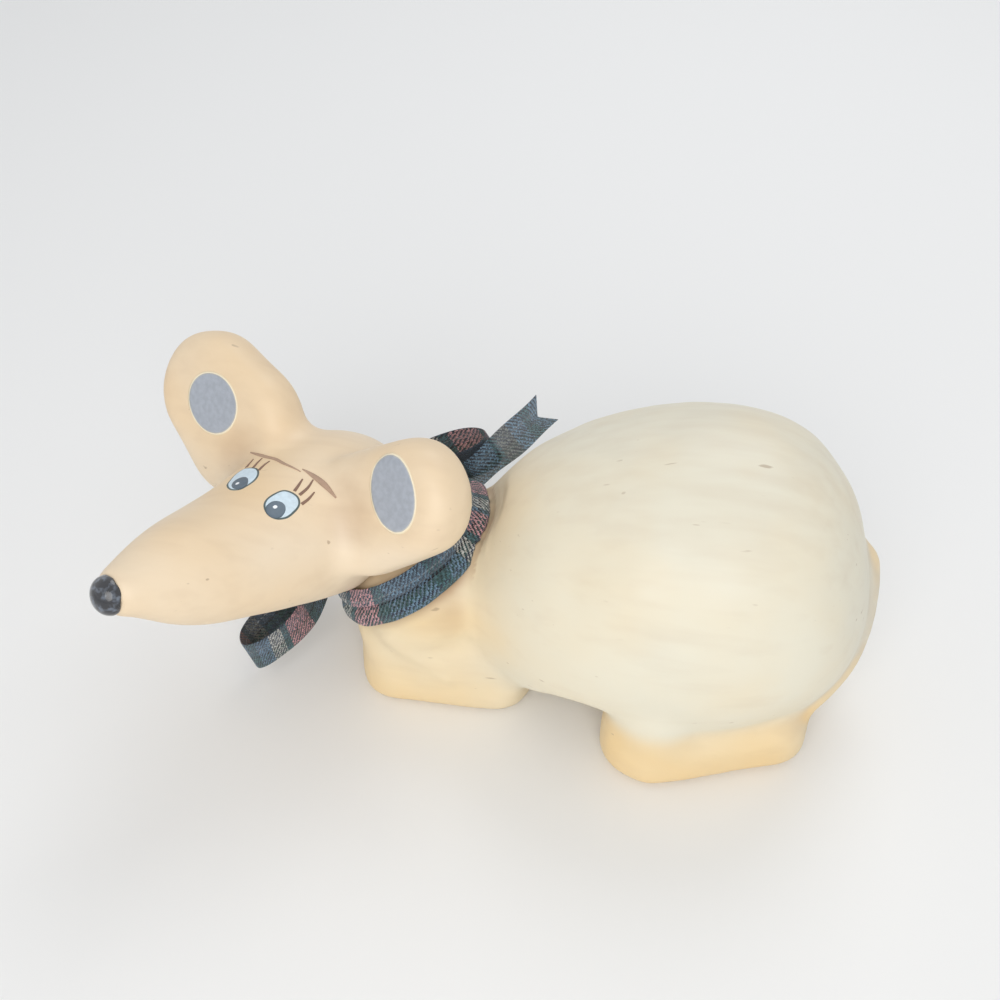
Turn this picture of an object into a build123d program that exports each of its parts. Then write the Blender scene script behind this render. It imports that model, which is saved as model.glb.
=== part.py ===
from build123d import *
from math import cos, pi, radians, sin, sqrt
import os

# Carved wooden mouse that lies on its belly and turns its head to its left, with a ribbon tied
# round its neck. Millimetres. +X runs from the head to the rump, +Y is the mouse's right side,
# +Z is up, and the origin is on the ground under the middle of the rump. The neck, the head and
# the ribbon stand on the front paws, so they move with the paws' reach and height.

# Driving sizes of the body, with the loin, waist, shoulder and chest at shares of the spine's run
rump_radius = 43.8
rump_end_reach = 36.6
base_flat_depth = 1.2
spine_drop_angle = 15.5
spine_station_shares = (0.252, 0.456, 0.665, 0.854)
loin_radius = 43.8
waist_radius = 37.8
shoulder_radius = 24.6
chest_radius = 20.5
chest_overhang = 3.0

# Neck, with its axis leaning forward, set back from the ends of the paws and above them
neck_setback = 14.0
neck_aside = 2.0
neck_over_paws = 12.0
neck_lean_angle = 30.0
neck_radius = 23.6
neck_top_radius = 18.5
neck_seat_depth = 3.0
neck_base_radius = 26.0
neck_base_depth = 16.0

# Front paws
paw_front_reach = 100.0
paw_length = 51.0
paw_width = 25.0
paw_height = 27.0
paw_offset = 16.0
paw_taper_angle = 3.0
paw_round = 8.0

# Hind feet, with a thigh that rises over the toes
foot_heel_x = 16.5
foot_heel_offset = 24.5
foot_heel_radius = 10.0
foot_toe_x = -15.5
foot_toe_offset = 31.5
foot_toe_radius = 14.0
foot_height = 17.0
foot_round = 7.5
thigh_inset = 1.0
thigh_height = 31.0
thigh_round = 9.5

# Hollow cut under the belly, between the paws and the feet, flaring out towards the flanks
belly_hollow_x = -35.0
belly_hollow_radius = 11.0
belly_hollow_height = 14.0
belly_hollow_flare_angle = 15.0

# Tail, a low ridge that curls round the left of the rump
tail_radius = 5.0
tail_stand_out = 0.8
tail_root_angle = 12.0
tail_middle_angle = -22.0
tail_tip_angle = -48.0
tail_root_height = 41.0
tail_middle_height = 23.0
tail_tip_height = 12.0

# Head: its seat on the neck, its turn to the left, its lift and its tilt
head_sink = 10.1
head_overhang = 14.0
head_aside = 2.0
head_turn_angle = 57.0
head_lift_angle = 18.5
head_tilt_angle = 5.0
cranium_half_width = 23.0
cranium_flatness_share = 0.93
cranium_rise = 3.0
brow_dip_share = 0.165
jowl_drop = 1.7
cranium_station_shares = (-0.97, -0.85, -0.6, -0.3)
snout_station_shares = (0.0, 0.2, 0.4, 0.6, 0.8, 1.0)
snout_length = 72.4
snout_end_radius = 5.6
snout_curve_share = 2.2

# Ears
ear_forward = 16.7
ear_offset = 34.2
ear_rise = 25.6
ear_spread_angle = 39.0
ear_yaw_angle = -12.0
ear_length = 50.0
left_ear_radius = 14.8
left_ear_base_radius = 16.2
left_ear_reach = 0.2
left_ear_drop = 1.7
right_ear_radius = 17.4
right_ear_base_radius = 19.6
right_ear_reach = 4.5
right_ear_drop = 4.0
ear_thickness = 15.5
ear_round = 6.0

# Painted ovals on the ears, and painted eyes
left_oval_length = 19.7
left_oval_width = 15.6
left_oval_angle = 76.0
right_oval_length = 18.8
right_oval_width = 17.0
right_oval_angle = 26.0
eye_forward = 27.5
eye_offset = 7.8
eye_length = 9.4
eye_height = 7.4
iris_radius = 2.6
iris_shift = 1.6
paint_depth = 0.6

# Nose bead and neck peg
nose_radius = 4.9
nose_length = 4.2
nose_bulge_share = 0.72
nose_peg_radius = 1.5
nose_peg_length = 8.0
neck_peg_radius = 4.0
neck_peg_length = 26.0
peg_clearance = 0.1

# Ribbon: the band round the neck, the knot, two loops and two tails, all standing on edge, with
# the loops' and the tails' points measured from the knot to the mouse's right and to its throat
ribbon_width = 10.0
ribbon_thickness = 0.6
ribbon_clearance = 0.3
crease_depth = 0.8
band_low_flare = 1.2
knot_angle = 38.0
knot_length = 10.0
knot_thickness = 6.0
knot_round = 2.0
left_loop_gap = 8.0
left_loop_start = (-5.35, 10.0)
left_loop_middle = (-27.35, 13.5)
left_loop_end = (-38.35, 26.5)
right_loop_gap = 12.0
right_loop_clearance = 1.0
right_loop_start_angle = 62.0
right_loop_end_angle = 112.0
right_tail_clearance = 1.6
right_tail_start_angle = 54.0
right_tail_bend_angle = 122.0
right_tail_beside_rump = 3.8
right_tail_back_run = 19.6
left_tail_start = (2.05, 2.6)
left_tail_middle = (3.05, 12.0)
left_tail_end = (-1.35, 21.5)

# Spine stations, from the middle of the rump to the end of the chest
chest_end_reach = paw_front_reach + chest_overhang
spine_stations = [share * chest_end_reach for share in spine_station_shares]
spine_radii = (loin_radius, waist_radius, shoulder_radius, chest_radius)

# Planes that carry the parts
rump_height = rump_radius - base_flat_depth
spine_plane = Plane(
    origin=(0, 0, rump_height),
    x_dir=(-cos(radians(spine_drop_angle)), 0, -sin(radians(spine_drop_angle))),
    z_dir=(0, 1, 0),
)
neck_centre = Vector(neck_setback - paw_front_reach, -neck_aside, paw_height + neck_over_paws)
neck_up = Vector(-sin(radians(neck_lean_angle)), 0, cos(radians(neck_lean_angle)))
neck_forward = Vector(-cos(radians(neck_lean_angle)), 0, -sin(radians(neck_lean_angle)))
neck_plane = Plane(origin=neck_centre, x_dir=(0, 1, 0), z_dir=neck_up)
neck_rise = ribbon_width / 2 + neck_seat_depth

head_forward = Vector(
    -cos(radians(head_turn_angle)) * cos(radians(head_lift_angle)),
    -sin(radians(head_turn_angle)) * cos(radians(head_lift_angle)),
    sin(radians(head_lift_angle)),
)
level_left = Vector(sin(radians(head_turn_angle)), -cos(radians(head_turn_angle)), 0)
head_left = level_left.rotate(Axis((0, 0, 0), head_forward), head_tilt_angle)
head_up = head_forward.cross(head_left)
head_seat = neck_up * (ribbon_width / 2 + cranium_half_width - head_sink) + neck_forward * head_overhang
head_centre = neck_centre + head_seat + Vector(0, -head_aside, 0)
head_plane = Plane(origin=head_centre, x_dir=head_forward, z_dir=head_up)


def head_half_width(forward):
    """Half width of the head at a distance forward of its middle."""
    if forward < 0:
        return sqrt(cranium_half_width**2 - forward**2)
    run_share = forward / snout_length
    return cranium_half_width + (snout_end_radius - cranium_half_width) * run_share**snout_curve_share


def head_half_height(forward):
    """Half height of the head there, flattest at the brow and round at the nose."""
    run_share = max(forward, 0) / snout_length
    flatness_share = cranium_flatness_share + (1 - cranium_flatness_share) * run_share
    return head_half_width(forward) * (flatness_share - brow_dip_share * sin(pi * run_share) ** 2)


def head_rise(forward):
    """How far the middle of the head's section there stands above the head's own axis."""
    run_share = max(forward, 0) / snout_length
    return cranium_rise * (1 + cos(pi * run_share)) / 2 - jowl_drop * sin(pi * run_share) ** 2


def ear_plane(side):
    """Plane of an ear's flat face in the head's frame, with side 1 for the left and -1 for the right."""
    out = Vector(0, side * cos(radians(ear_spread_angle)), sin(radians(ear_spread_angle)))
    facing = Vector(cos(radians(ear_yaw_angle)), side * sin(radians(ear_yaw_angle)), 0)
    facing = facing - out * facing.dot(out)
    return Plane(origin=(ear_forward, side * ear_offset, ear_rise), x_dir=out, z_dir=facing)


def on_rump(height, angle, stand_out):
    """Point on the rump at a height, turned from the tail end and standing out from its skin."""
    ring_radius = sqrt(rump_radius**2 - (height - rump_height) ** 2) + stand_out
    reach = ring_radius * rump_end_reach / rump_radius
    return Vector(reach * cos(radians(angle)), ring_radius * sin(radians(angle)), height)


def on_neck(angle, radius):
    """Point in the neck's plane, turned from the throat towards the mouse's right side."""
    return (radius * sin(radians(angle)), radius * cos(radians(angle)))


# Rump, trunk and chest, turned about the spine, with the neck stub and the curled tail
with BuildPart() as trunk:
    with BuildSketch(spine_plane):
        with BuildLine():
            Spline(
                (-rump_end_reach, 0),
                (0, rump_radius),
                *zip(spine_stations, spine_radii),
                (chest_end_reach, 0),
                tangents=[(0, 1), (0, -1)],
            )
            Line((chest_end_reach, 0), (-rump_end_reach, 0))
        make_face()
    revolve(axis=Axis(spine_plane.origin, spine_plane.x_dir), revolution_arc=360)
    with BuildSketch(neck_plane.offset(-neck_base_depth)):
        Circle(neck_base_radius)
    with BuildSketch(neck_plane):
        Circle(neck_radius)
    with BuildSketch(neck_plane.offset(neck_rise)):
        Circle(neck_top_radius)
    loft()
    with BuildLine() as tail_line:
        ThreePointArc(
            on_rump(tail_root_height, tail_root_angle, tail_stand_out),
            on_rump(tail_middle_height, tail_middle_angle, tail_stand_out),
            on_rump(tail_tip_height, tail_tip_angle, tail_stand_out),
        )
    with BuildSketch(Plane(origin=tail_line.line @ 0, z_dir=tail_line.line % 0)):
        Circle(tail_radius)
    sweep(path=tail_line.line)
    with Locations(tail_line.line @ 0, tail_line.line @ 1):
        Sphere(tail_radius)
    with BuildSketch(Plane.XZ):
        with Locations((belly_hollow_x, belly_hollow_height - belly_hollow_radius)):
            Circle(belly_hollow_radius)
    extrude(amount=rump_radius, both=True, taper=-belly_hollow_flare_angle, mode=Mode.SUBTRACT)

# Front paws, as rounded forearms that lie on the ground
with BuildPart() as paws:
    with BuildSketch(Plane.XY.offset(-paw_round)):
        with Locations((-paw_front_reach + paw_length / 2, -paw_offset)):
            SlotOverall(paw_length, paw_width)
    extrude(amount=paw_height + paw_round, taper=paw_taper_angle)
    fillet(paws.edges().group_by(Axis.Z)[-1], radius=paw_round)
    mirror(about=Plane.XZ)

# Hind feet, wider at the toes and splayed out, and the thighs over them
with BuildPart() as feet:
    with BuildSketch(Plane.XY.offset(-foot_round)):
        with Locations((foot_heel_x, -foot_heel_offset)):
            Circle(foot_heel_radius)
        with Locations((foot_toe_x, -foot_toe_offset)):
            Circle(foot_toe_radius)
        make_hull()
    extrude(amount=foot_height + foot_round)
    fillet(feet.edges().group_by(Axis.Z)[-1], radius=foot_round)
    mirror(about=Plane.XZ)

with BuildPart() as thighs:
    with BuildSketch(Plane.XY.offset(foot_height / 2)):
        with Locations((foot_toe_x, -foot_toe_offset)):
            Circle(foot_toe_radius - thigh_inset)
    extrude(amount=thigh_height - foot_height / 2)
    fillet(thighs.edges().group_by(Axis.Z)[-1], radius=thigh_round)
    mirror(about=Plane.XZ)

# Neck peg, half in the body and half in the head, and the hole that it is glued in
with BuildPart() as neck_peg:
    with BuildSketch(neck_plane.offset(neck_rise - neck_peg_length / 2)):
        Circle(neck_peg_radius)
    extrude(amount=neck_peg_length)
neck_peg.part.label = "neck_peg"

with BuildPart() as neck_peg_hole:
    with BuildSketch(neck_plane.offset(neck_rise - neck_peg_length / 2 - peg_clearance)):
        Circle(neck_peg_radius + peg_clearance)
    extrude(amount=neck_peg_length + 2 * peg_clearance)

# Head blank in its own frame: +X runs forward, +Y to the mouse's left and +Z up
cranium_stations = [share * cranium_half_width for share in cranium_station_shares]
snout_stations = [share * snout_length for share in snout_station_shares]
with BuildPart() as head_blank:
    for forward in cranium_stations + snout_stations:
        with BuildSketch(Plane(origin=(forward, 0, head_rise(forward)), x_dir=(0, 1, 0), z_dir=(1, 0, 0))):
            Ellipse(head_half_width(forward), head_half_height(forward))
    loft()

# Ears, as thick rounded paddles that widen towards the crown of the head
with BuildPart() as ears:
    for side, reach, drop, tip_radius, base_radius in (
        (1, left_ear_reach, left_ear_drop, left_ear_radius, left_ear_base_radius),
        (-1, right_ear_reach, right_ear_drop, right_ear_radius, right_ear_base_radius),
    ):
        base_reach = reach + tip_radius + base_radius - ear_length
        base_drop = drop - (base_radius - tip_radius)
        with BuildSketch(ear_plane(side)):
            with Locations((reach, -side * drop)):
                Circle(tip_radius)
            with Locations((base_reach, -side * base_drop)):
                Circle(base_radius)
            make_hull()
        extrude(amount=-ear_thickness)
    fillet(ears.edges(), radius=ear_round)

# Painted ovals on the ears, let into the faces by the paint's depth
with BuildPart() as ear_ovals:
    for side, length, width, angle in (
        (1, left_oval_length, left_oval_width, left_oval_angle),
        (-1, right_oval_length, right_oval_width, right_oval_angle),
    ):
        with BuildSketch(ear_plane(side)):
            Ellipse(length / 2, width / 2, rotation=angle)
        extrude(amount=-paint_depth)

# Painted eyes: cutters that stand square to the snout, for the whites and for the irises
eye_wide_share = eye_offset / head_half_width(eye_forward)
eye_rise = head_rise(eye_forward) + head_half_height(eye_forward) * sqrt(1 - eye_wide_share**2)
eye_slope = (head_half_height(eye_forward) - head_half_height(eye_forward + eye_length)) / eye_length
eye_lean = eye_wide_share * head_half_height(eye_forward) ** 2 / (eye_rise * head_half_width(eye_forward))
eye_plane = Plane(
    origin=(eye_forward, eye_offset, eye_rise), x_dir=(1, 0, -eye_slope), z_dir=(eye_slope, eye_lean, 1)
)
with BuildPart() as eye_cutters:
    with BuildSketch(eye_plane.offset(-paint_depth)):
        Ellipse(eye_length / 2, eye_height / 2)
    extrude(amount=2 * paint_depth)
    mirror(about=Plane.XZ)

with BuildPart() as iris_cutters:
    with BuildSketch(eye_plane.offset(-paint_depth)):
        with Locations((iris_shift, 0)):
            Circle(iris_radius)
    extrude(amount=2 * paint_depth)
    mirror(about=Plane.XZ)

# Nose bead with its peg
with BuildPart() as nose_form:
    with BuildSketch(Plane.XZ):
        with BuildLine():
            Polyline(
                (snout_length + nose_length, 0),
                (snout_length - nose_peg_length, 0),
                (snout_length - nose_peg_length, nose_peg_radius),
                (snout_length, nose_peg_radius),
                (snout_length, nose_radius),
            )
            Spline(
                (snout_length, nose_radius),
                (snout_length + nose_length * nose_bulge_share, nose_radius * nose_bulge_share),
                (snout_length + nose_length, 0),
                tangents=[(1, 0), (0, -1)],
            )
        make_face()
    revolve(axis=Axis.X, revolution_arc=360)

with BuildPart() as nose_hole:
    with BuildSketch(Plane.YZ.offset(snout_length - nose_peg_length)):
        Circle(nose_peg_radius)
    extrude(amount=nose_peg_length)

# Pieces of the head, still in its own frame
with BuildPart() as head_form:
    add(head_blank.part)
    add(ears.part)
    add(ear_ovals.part, mode=Mode.SUBTRACT)
    add(eye_cutters.part, mode=Mode.SUBTRACT)
    add(nose_hole.part, mode=Mode.SUBTRACT)

with BuildPart() as eye_forms:
    add(head_blank.part)
    add(eye_cutters.part, mode=Mode.INTERSECT)

with BuildPart() as iris_forms:
    add(eye_forms.part)
    add(iris_cutters.part, mode=Mode.INTERSECT)

with BuildPart() as white_forms:
    add(eye_forms.part)
    add(iris_cutters.part, mode=Mode.SUBTRACT)

# Ribbon round the neck: two turns that meet at a lengthwise crease, with the right tail outside
band_crease_radius = neck_radius + ribbon_clearance
band_low_radius = band_crease_radius + crease_depth + band_low_flare
band_high_radius = band_crease_radius + crease_depth
band_outer_radius = band_low_radius + ribbon_thickness
right_tail_radius = band_outer_radius + right_tail_clearance + ribbon_thickness / 2
right_tail_outer_radius = right_tail_radius + ribbon_thickness / 2
band_section_plane = Plane(origin=neck_centre, x_dir=(0, 1, 0), z_dir=neck_forward)
with BuildPart() as ribbon_band:
    with BuildSketch(band_section_plane):
        with BuildLine():
            Polyline(
                (band_low_radius, -ribbon_width / 2),
                (band_crease_radius, 0),
                (band_high_radius, ribbon_width / 2),
                (band_high_radius + ribbon_thickness, ribbon_width / 2),
                (band_crease_radius + ribbon_thickness, 0),
                (band_outer_radius, -ribbon_width / 2),
                close=True,
            )
        make_face()
    revolve(axis=Axis(neck_centre, neck_up), revolution_arc=360)
ribbon_band.part.label = "ribbon_band"

# Room that the wood leaves for the ribbon where the shoulders and the head come close to it
room_height = ribbon_width + 2 * ribbon_clearance
with BuildPart() as ribbon_room:
    with BuildSketch(neck_plane.offset(-room_height / 2)):
        Circle(right_tail_outer_radius + ribbon_clearance)
        Circle(neck_radius, mode=Mode.SUBTRACT)
    extrude(amount=room_height)

# Body in one piece, cut flat where it stands
with BuildPart() as body:
    add(trunk.part)
    add(paws.part)
    add(feet.part)
    add(thighs.part)
    with BuildSketch(Plane.XY):
        Rectangle(2 * (chest_end_reach + rump_radius), 4 * rump_radius)
    extrude(amount=-2 * rump_radius, mode=Mode.SUBTRACT)
    add(ribbon_room.part, mode=Mode.SUBTRACT)

with BuildPart() as drilled_body:
    add(body.part)
    add(neck_peg_hole.part, mode=Mode.SUBTRACT)
drilled_body.part.label = "body"

# Head and nose in place, with the head seated on the neck and drilled for the peg
with BuildPart(head_plane) as head:
    add(head_form.part)

with BuildPart() as seated_head:
    add(head.part)
    add(body.part, mode=Mode.SUBTRACT)
    add(ribbon_room.part, mode=Mode.SUBTRACT)
    add(neck_peg_hole.part, mode=Mode.SUBTRACT)
seated_head.part.label = "head"

with BuildPart(head_plane) as nose:
    add(nose_form.part)
nose.part.label = "nose"

# Ribbon knot, outside the band
ribbon_floor = neck_plane.offset(-ribbon_width / 2)
knot_middle = Vector(*on_neck(knot_angle, band_outer_radius + ribbon_clearance + knot_thickness / 2))
with BuildPart() as ribbon_knot:
    with BuildSketch(ribbon_floor):
        with Locations(Location(knot_middle, (0, 0, -knot_angle))):
            RectangleRounded(knot_length, knot_thickness, knot_round)
    extrude(amount=ribbon_width)
ribbon_knot.part.label = "ribbon_knot"


def from_knot(*offsets):
    """Points in the neck's plane, each at an offset from the middle of the knot."""
    return [knot_middle + Vector(*offset) for offset in offsets]


def loop_outline(points, gap):
    """Flat ring of ribbon seen from its edge, bent along an arc through three points."""
    with BuildSketch(ribbon_floor) as ring:
        with BuildLine() as middle_line:
            ThreePointArc(*points)
        ends = (middle_line.line @ 0, middle_line.line @ 1)
        trace(line_width=gap + 2 * ribbon_thickness)
        with Locations(*ends):
            Circle(gap / 2 + ribbon_thickness)
        trace(middle_line.line, line_width=gap, mode=Mode.SUBTRACT)
        with Locations(*ends):
            Circle(gap / 2, mode=Mode.SUBTRACT)
    return ring.sketch


# Ribbon loops, the left one forward under the chin and the right one round the neck
left_loop_points = from_knot(left_loop_start, left_loop_middle, left_loop_end)
with BuildPart() as ribbon_loop_left:
    extrude(loop_outline(left_loop_points, left_loop_gap), amount=ribbon_width)
    add(ribbon_knot.part, mode=Mode.SUBTRACT)
ribbon_loop_left.part.label = "ribbon_loop_left"

right_loop_inner_radius = right_tail_outer_radius + right_loop_clearance
right_loop_radius = right_loop_inner_radius + ribbon_thickness + right_loop_gap / 2
right_loop_middle_angle = (right_loop_start_angle + right_loop_end_angle) / 2
right_loop_angles = (right_loop_start_angle, right_loop_middle_angle, right_loop_end_angle)
right_loop_points = [on_neck(angle, right_loop_radius) for angle in right_loop_angles]
with BuildPart() as ribbon_loop_right:
    extrude(loop_outline(right_loop_points, right_loop_gap), amount=ribbon_width)
    add(ribbon_knot.part, mode=Mode.SUBTRACT)
ribbon_loop_right.part.label = "ribbon_loop_right"

# Right tail: past the band inside the right loop, then out behind it to a notched end
tail_bend = Vector(*on_neck(right_tail_bend_angle, right_tail_radius))
tail_middle_arc_angle = (right_tail_start_angle + right_tail_bend_angle) / 2
with BuildPart() as ribbon_tail_right:
    with BuildSketch(ribbon_floor):
        with BuildLine():
            ThreePointArc(
                on_neck(right_tail_start_angle, right_tail_radius),
                on_neck(tail_middle_arc_angle, right_tail_radius),
                tail_bend,
            )
            Line(tail_bend, (rump_radius + right_tail_beside_rump, tail_bend.Y - right_tail_back_run))
        trace(line_width=ribbon_thickness)
    extrude(amount=ribbon_width)
ribbon_tail_right.part.label = "ribbon_tail_right"

# Left tail: a short end that hangs forward under the head
with BuildPart() as ribbon_tail_left:
    with BuildSketch(ribbon_floor):
        with BuildLine():
            ThreePointArc(*from_knot(left_tail_start, left_tail_middle, left_tail_end))
        trace(line_width=ribbon_thickness)
    extrude(amount=ribbon_width)
ribbon_tail_left.part.label = "ribbon_tail_left"

os.makedirs("parts", exist_ok=True)
export_step(drilled_body.part, "parts/body.step")
export_step(seated_head.part, "parts/head.step")
export_step(neck_peg.part, "parts/neck_peg.step")
export_step(nose.part, "parts/nose.step")
for ribbon in (
    ribbon_band,
    ribbon_knot,
    ribbon_loop_left,
    ribbon_loop_right,
    ribbon_tail_left,
    ribbon_tail_right,
):
    export_step(ribbon.part, "parts/" + ribbon.part.label + ".step")

for piece, forms in (("ear_oval", ear_ovals), ("eye_white", white_forms), ("iris", iris_forms)):
    for side, solid in zip(("right", "left"), forms.solids().sort_by(Axis.Y)):
        with BuildPart(head_plane) as paint:
            add(solid)
        paint.part.label = piece + "_" + side
        export_step(paint.part, "parts/" + paint.part.label + ".step")
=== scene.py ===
from math import atan2, cos, degrees, floor, pi, radians, sin, sqrt, tau

import bmesh
import bpy
from mathutils import Matrix, Vector, noise
from mathutils.bvhtree import BVHTree


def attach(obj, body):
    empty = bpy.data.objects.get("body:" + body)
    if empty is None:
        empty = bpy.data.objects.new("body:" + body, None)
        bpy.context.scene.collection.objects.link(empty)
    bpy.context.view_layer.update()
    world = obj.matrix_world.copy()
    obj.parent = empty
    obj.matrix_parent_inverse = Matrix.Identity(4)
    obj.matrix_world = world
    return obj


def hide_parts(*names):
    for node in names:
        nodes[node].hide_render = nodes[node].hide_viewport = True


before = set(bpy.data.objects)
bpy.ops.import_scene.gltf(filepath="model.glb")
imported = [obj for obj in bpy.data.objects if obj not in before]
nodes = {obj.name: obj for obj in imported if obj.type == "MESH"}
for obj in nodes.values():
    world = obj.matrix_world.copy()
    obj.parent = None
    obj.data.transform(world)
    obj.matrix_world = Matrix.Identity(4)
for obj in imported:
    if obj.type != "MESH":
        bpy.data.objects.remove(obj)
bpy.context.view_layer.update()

scene = bpy.context.scene
MM = 0.001

# Places that the wood and the ribbon share with the construction, lengths in millimetres
NECK_CENTRE = Vector((-86.0, -2.0, 39.0))
NECK_LEAN = radians(30.0)
NECK_UP = Vector((-sin(NECK_LEAN), 0, cos(NECK_LEAN)))
NECK_FORWARD = Vector((-cos(NECK_LEAN), 0, -sin(NECK_LEAN)))
MOUSE_RIGHT = Vector((0, 1, 0))
NECK_RADIUS = 23.6
RIBBON_WIDTH = 10.0

HEAD_MIDDLE = Vector((-107.07, -4.0, 47.5))
HEAD_TURN, HEAD_LIFT, HEAD_TILT = radians(57.0), radians(18.5), radians(5.0)
HEAD_FORWARD = Vector(
    (-cos(HEAD_TURN) * cos(HEAD_LIFT), -sin(HEAD_TURN) * cos(HEAD_LIFT), sin(HEAD_LIFT))
)
HEAD_LEVEL_LEFT = Vector((sin(HEAD_TURN), -cos(HEAD_TURN), 0))
HEAD_LEFT = Matrix.Rotation(HEAD_TILT, 3, HEAD_FORWARD) @ HEAD_LEVEL_LEFT
HEAD_UP = HEAD_FORWARD.cross(HEAD_LEFT)
SNOUT_LENGTH = 72.4


def head_point(forward, left, up):
    """Point given in the head's own directions, in millimetres from its middle, in metres."""
    return (HEAD_MIDDLE + HEAD_FORWARD * forward + HEAD_LEFT * left + HEAD_UP * up) * MM


def neck_point(right, throat, up=0.0):
    """Point given in the neck's own directions, in millimetres from its middle, in metres."""
    return (NECK_CENTRE + MOUSE_RIGHT * right + NECK_FORWARD * throat + NECK_UP * up) * MM


def neck_place(point):
    """The neck's own directions of a point in metres, as (right, throat, up) in millimetres."""
    offset = point / MM - NECK_CENTRE
    return offset.dot(MOUSE_RIGHT), offset.dot(NECK_FORWARD), offset.dot(NECK_UP)


def on_neck(angle, radius, up=0.0):
    """Point round the neck, at an angle in degrees from the throat towards the mouse's right."""
    return neck_point(radius * sin(radians(angle)), radius * cos(radians(angle)), up)


def round_neck(right, throat):
    """Angle in degrees of a place on the neck's plane, as on_neck takes it."""
    return degrees(atan2(right, throat))


def band_shift(angle):
    """How far the band stands above the neck's own plane at an angle from the throat."""
    return 2 - 2 * cos(radians(angle))


def clamp(value, low=0.0, high=1.0):
    return max(low, min(high, value))


def soft_step(value, low, high):
    """0 below low, 1 above high and smooth between them."""
    share = clamp((value - low) / (high - low))
    return share * share * (3 - 2 * share)


def along_path(points, run, closed=False):
    """Point at a share of the way along a smooth line through the points."""
    spans = len(points) if closed else len(points) - 1
    place = clamp(run) * spans
    span = min(floor(place), spans - 1)
    part = place - span
    around = []
    for step in (-1, 0, 1, 2):
        index = span + step
        index = index % len(points) if closed else min(max(index, 0), len(points) - 1)
        around.append(points[index])
    before, start, end, after = around
    return (
        start * 2
        + (end - before) * part
        + (before * 2 - start * 5 + end * 4 - after) * part**2
        + (start * 3 - before - end * 3 + after) * part**3
    ) * 0.5


def mesh_from(name, built):
    """A mesh of what was built, which is freed."""
    mesh = bpy.data.meshes.new(name)
    built.to_mesh(mesh)
    built.free()
    return mesh


# ---- materials ----


def new_material(name, **settings):
    """A material with one Principled shader, and that shader with its plain values set."""
    material = bpy.data.materials.new(name)
    material.use_nodes = True
    surface = material.node_tree.nodes["Principled BSDF"]
    for socket, value in settings.items():
        surface.inputs[socket.replace("_", " ")].default_value = value
    return material, surface


def feed(owner, kind, inputs=(), **properties):
    """Add a shader node, set its properties and inputs, and link the inputs that are sockets."""
    step = owner.node_tree.nodes.new("ShaderNode" + kind)
    for name, value in properties.items():
        setattr(step, name, value)
    for socket, value in dict(inputs).items():
        target = step.inputs[socket]
        if isinstance(value, bpy.types.NodeSocket):
            owner.node_tree.links.new(value, target)
        else:
            target.default_value = value
    return step


def link(material, output, surface, socket):
    material.node_tree.links.new(output, surface.inputs[socket])


def maths(owner, operation, first, second=0.0, third=0.0):
    step = feed(owner, "Math", {0: first, 1: second, 2: third}, operation=operation)
    return step.outputs[0]


def spread(material, value, low, high, new_low=0.0, new_high=1.0):
    """A value's range from low to high stretched over a new range, and held at its ends."""
    step = feed(material, "MapRange", {0: value, 1: low, 2: high, 3: new_low, 4: new_high})
    return step.outputs[0]


def blend_colours(material, share, first, second, blend_type="MIX"):
    step = feed(
        material, "Mix", {0: share, 6: first, 7: second}, data_type="RGBA", blend_type=blend_type
    )
    return step.outputs[2]


def stripes(material, share, stops):
    """Plain stripes of colour, each from its place on."""
    step = feed(material, "ValToRGB", {"Fac": share})
    step.color_ramp.interpolation = "CONSTANT"
    elements = step.color_ramp.elements
    while len(elements) < len(stops):
        elements.new(0.5)
    for element, (place, colour) in zip(elements, stops):
        element.position = place
        element.color = (*colour, 1)
    return step.outputs["Color"]


def grainy(material, scale, detail, stretch=(1, 1, 1), seed=0.0):
    """Noise on the piece's own coordinates, stretched along the wood where asked."""
    place = feed(material, "TexCoord").outputs["Object"]
    turned = feed(
        material, "Mapping", {"Vector": place, "Scale": stretch, "Location": (seed, seed, seed)}
    )
    step = feed(
        material, "TexNoise", {"Vector": turned.outputs[0], "Scale": scale, "Detail": detail}
    )
    return step.outputs["Fac"]


def uneven(material, amount, grain, middle, strength):
    """An amount that a grain pushes up and down about its middle, kept between 0 and 1."""
    offset = maths(material, "SUBTRACT", grain, middle)
    pushed = maths(material, "MULTIPLY_ADD", offset, strength, amount)
    return feed(material, "Clamp", {0: pushed}).outputs[0]


def roughen(material, surface, height, strength, depth):
    """Give a surface bumps from a height, whose full step is a depth in metres."""
    bump = feed(material, "Bump", {"Height": height, "Strength": strength, "Distance": depth})
    link(material, bump.outputs[0], surface, "Normal")


PORE_COLOUR = (0.33, 0.22, 0.13)


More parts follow.
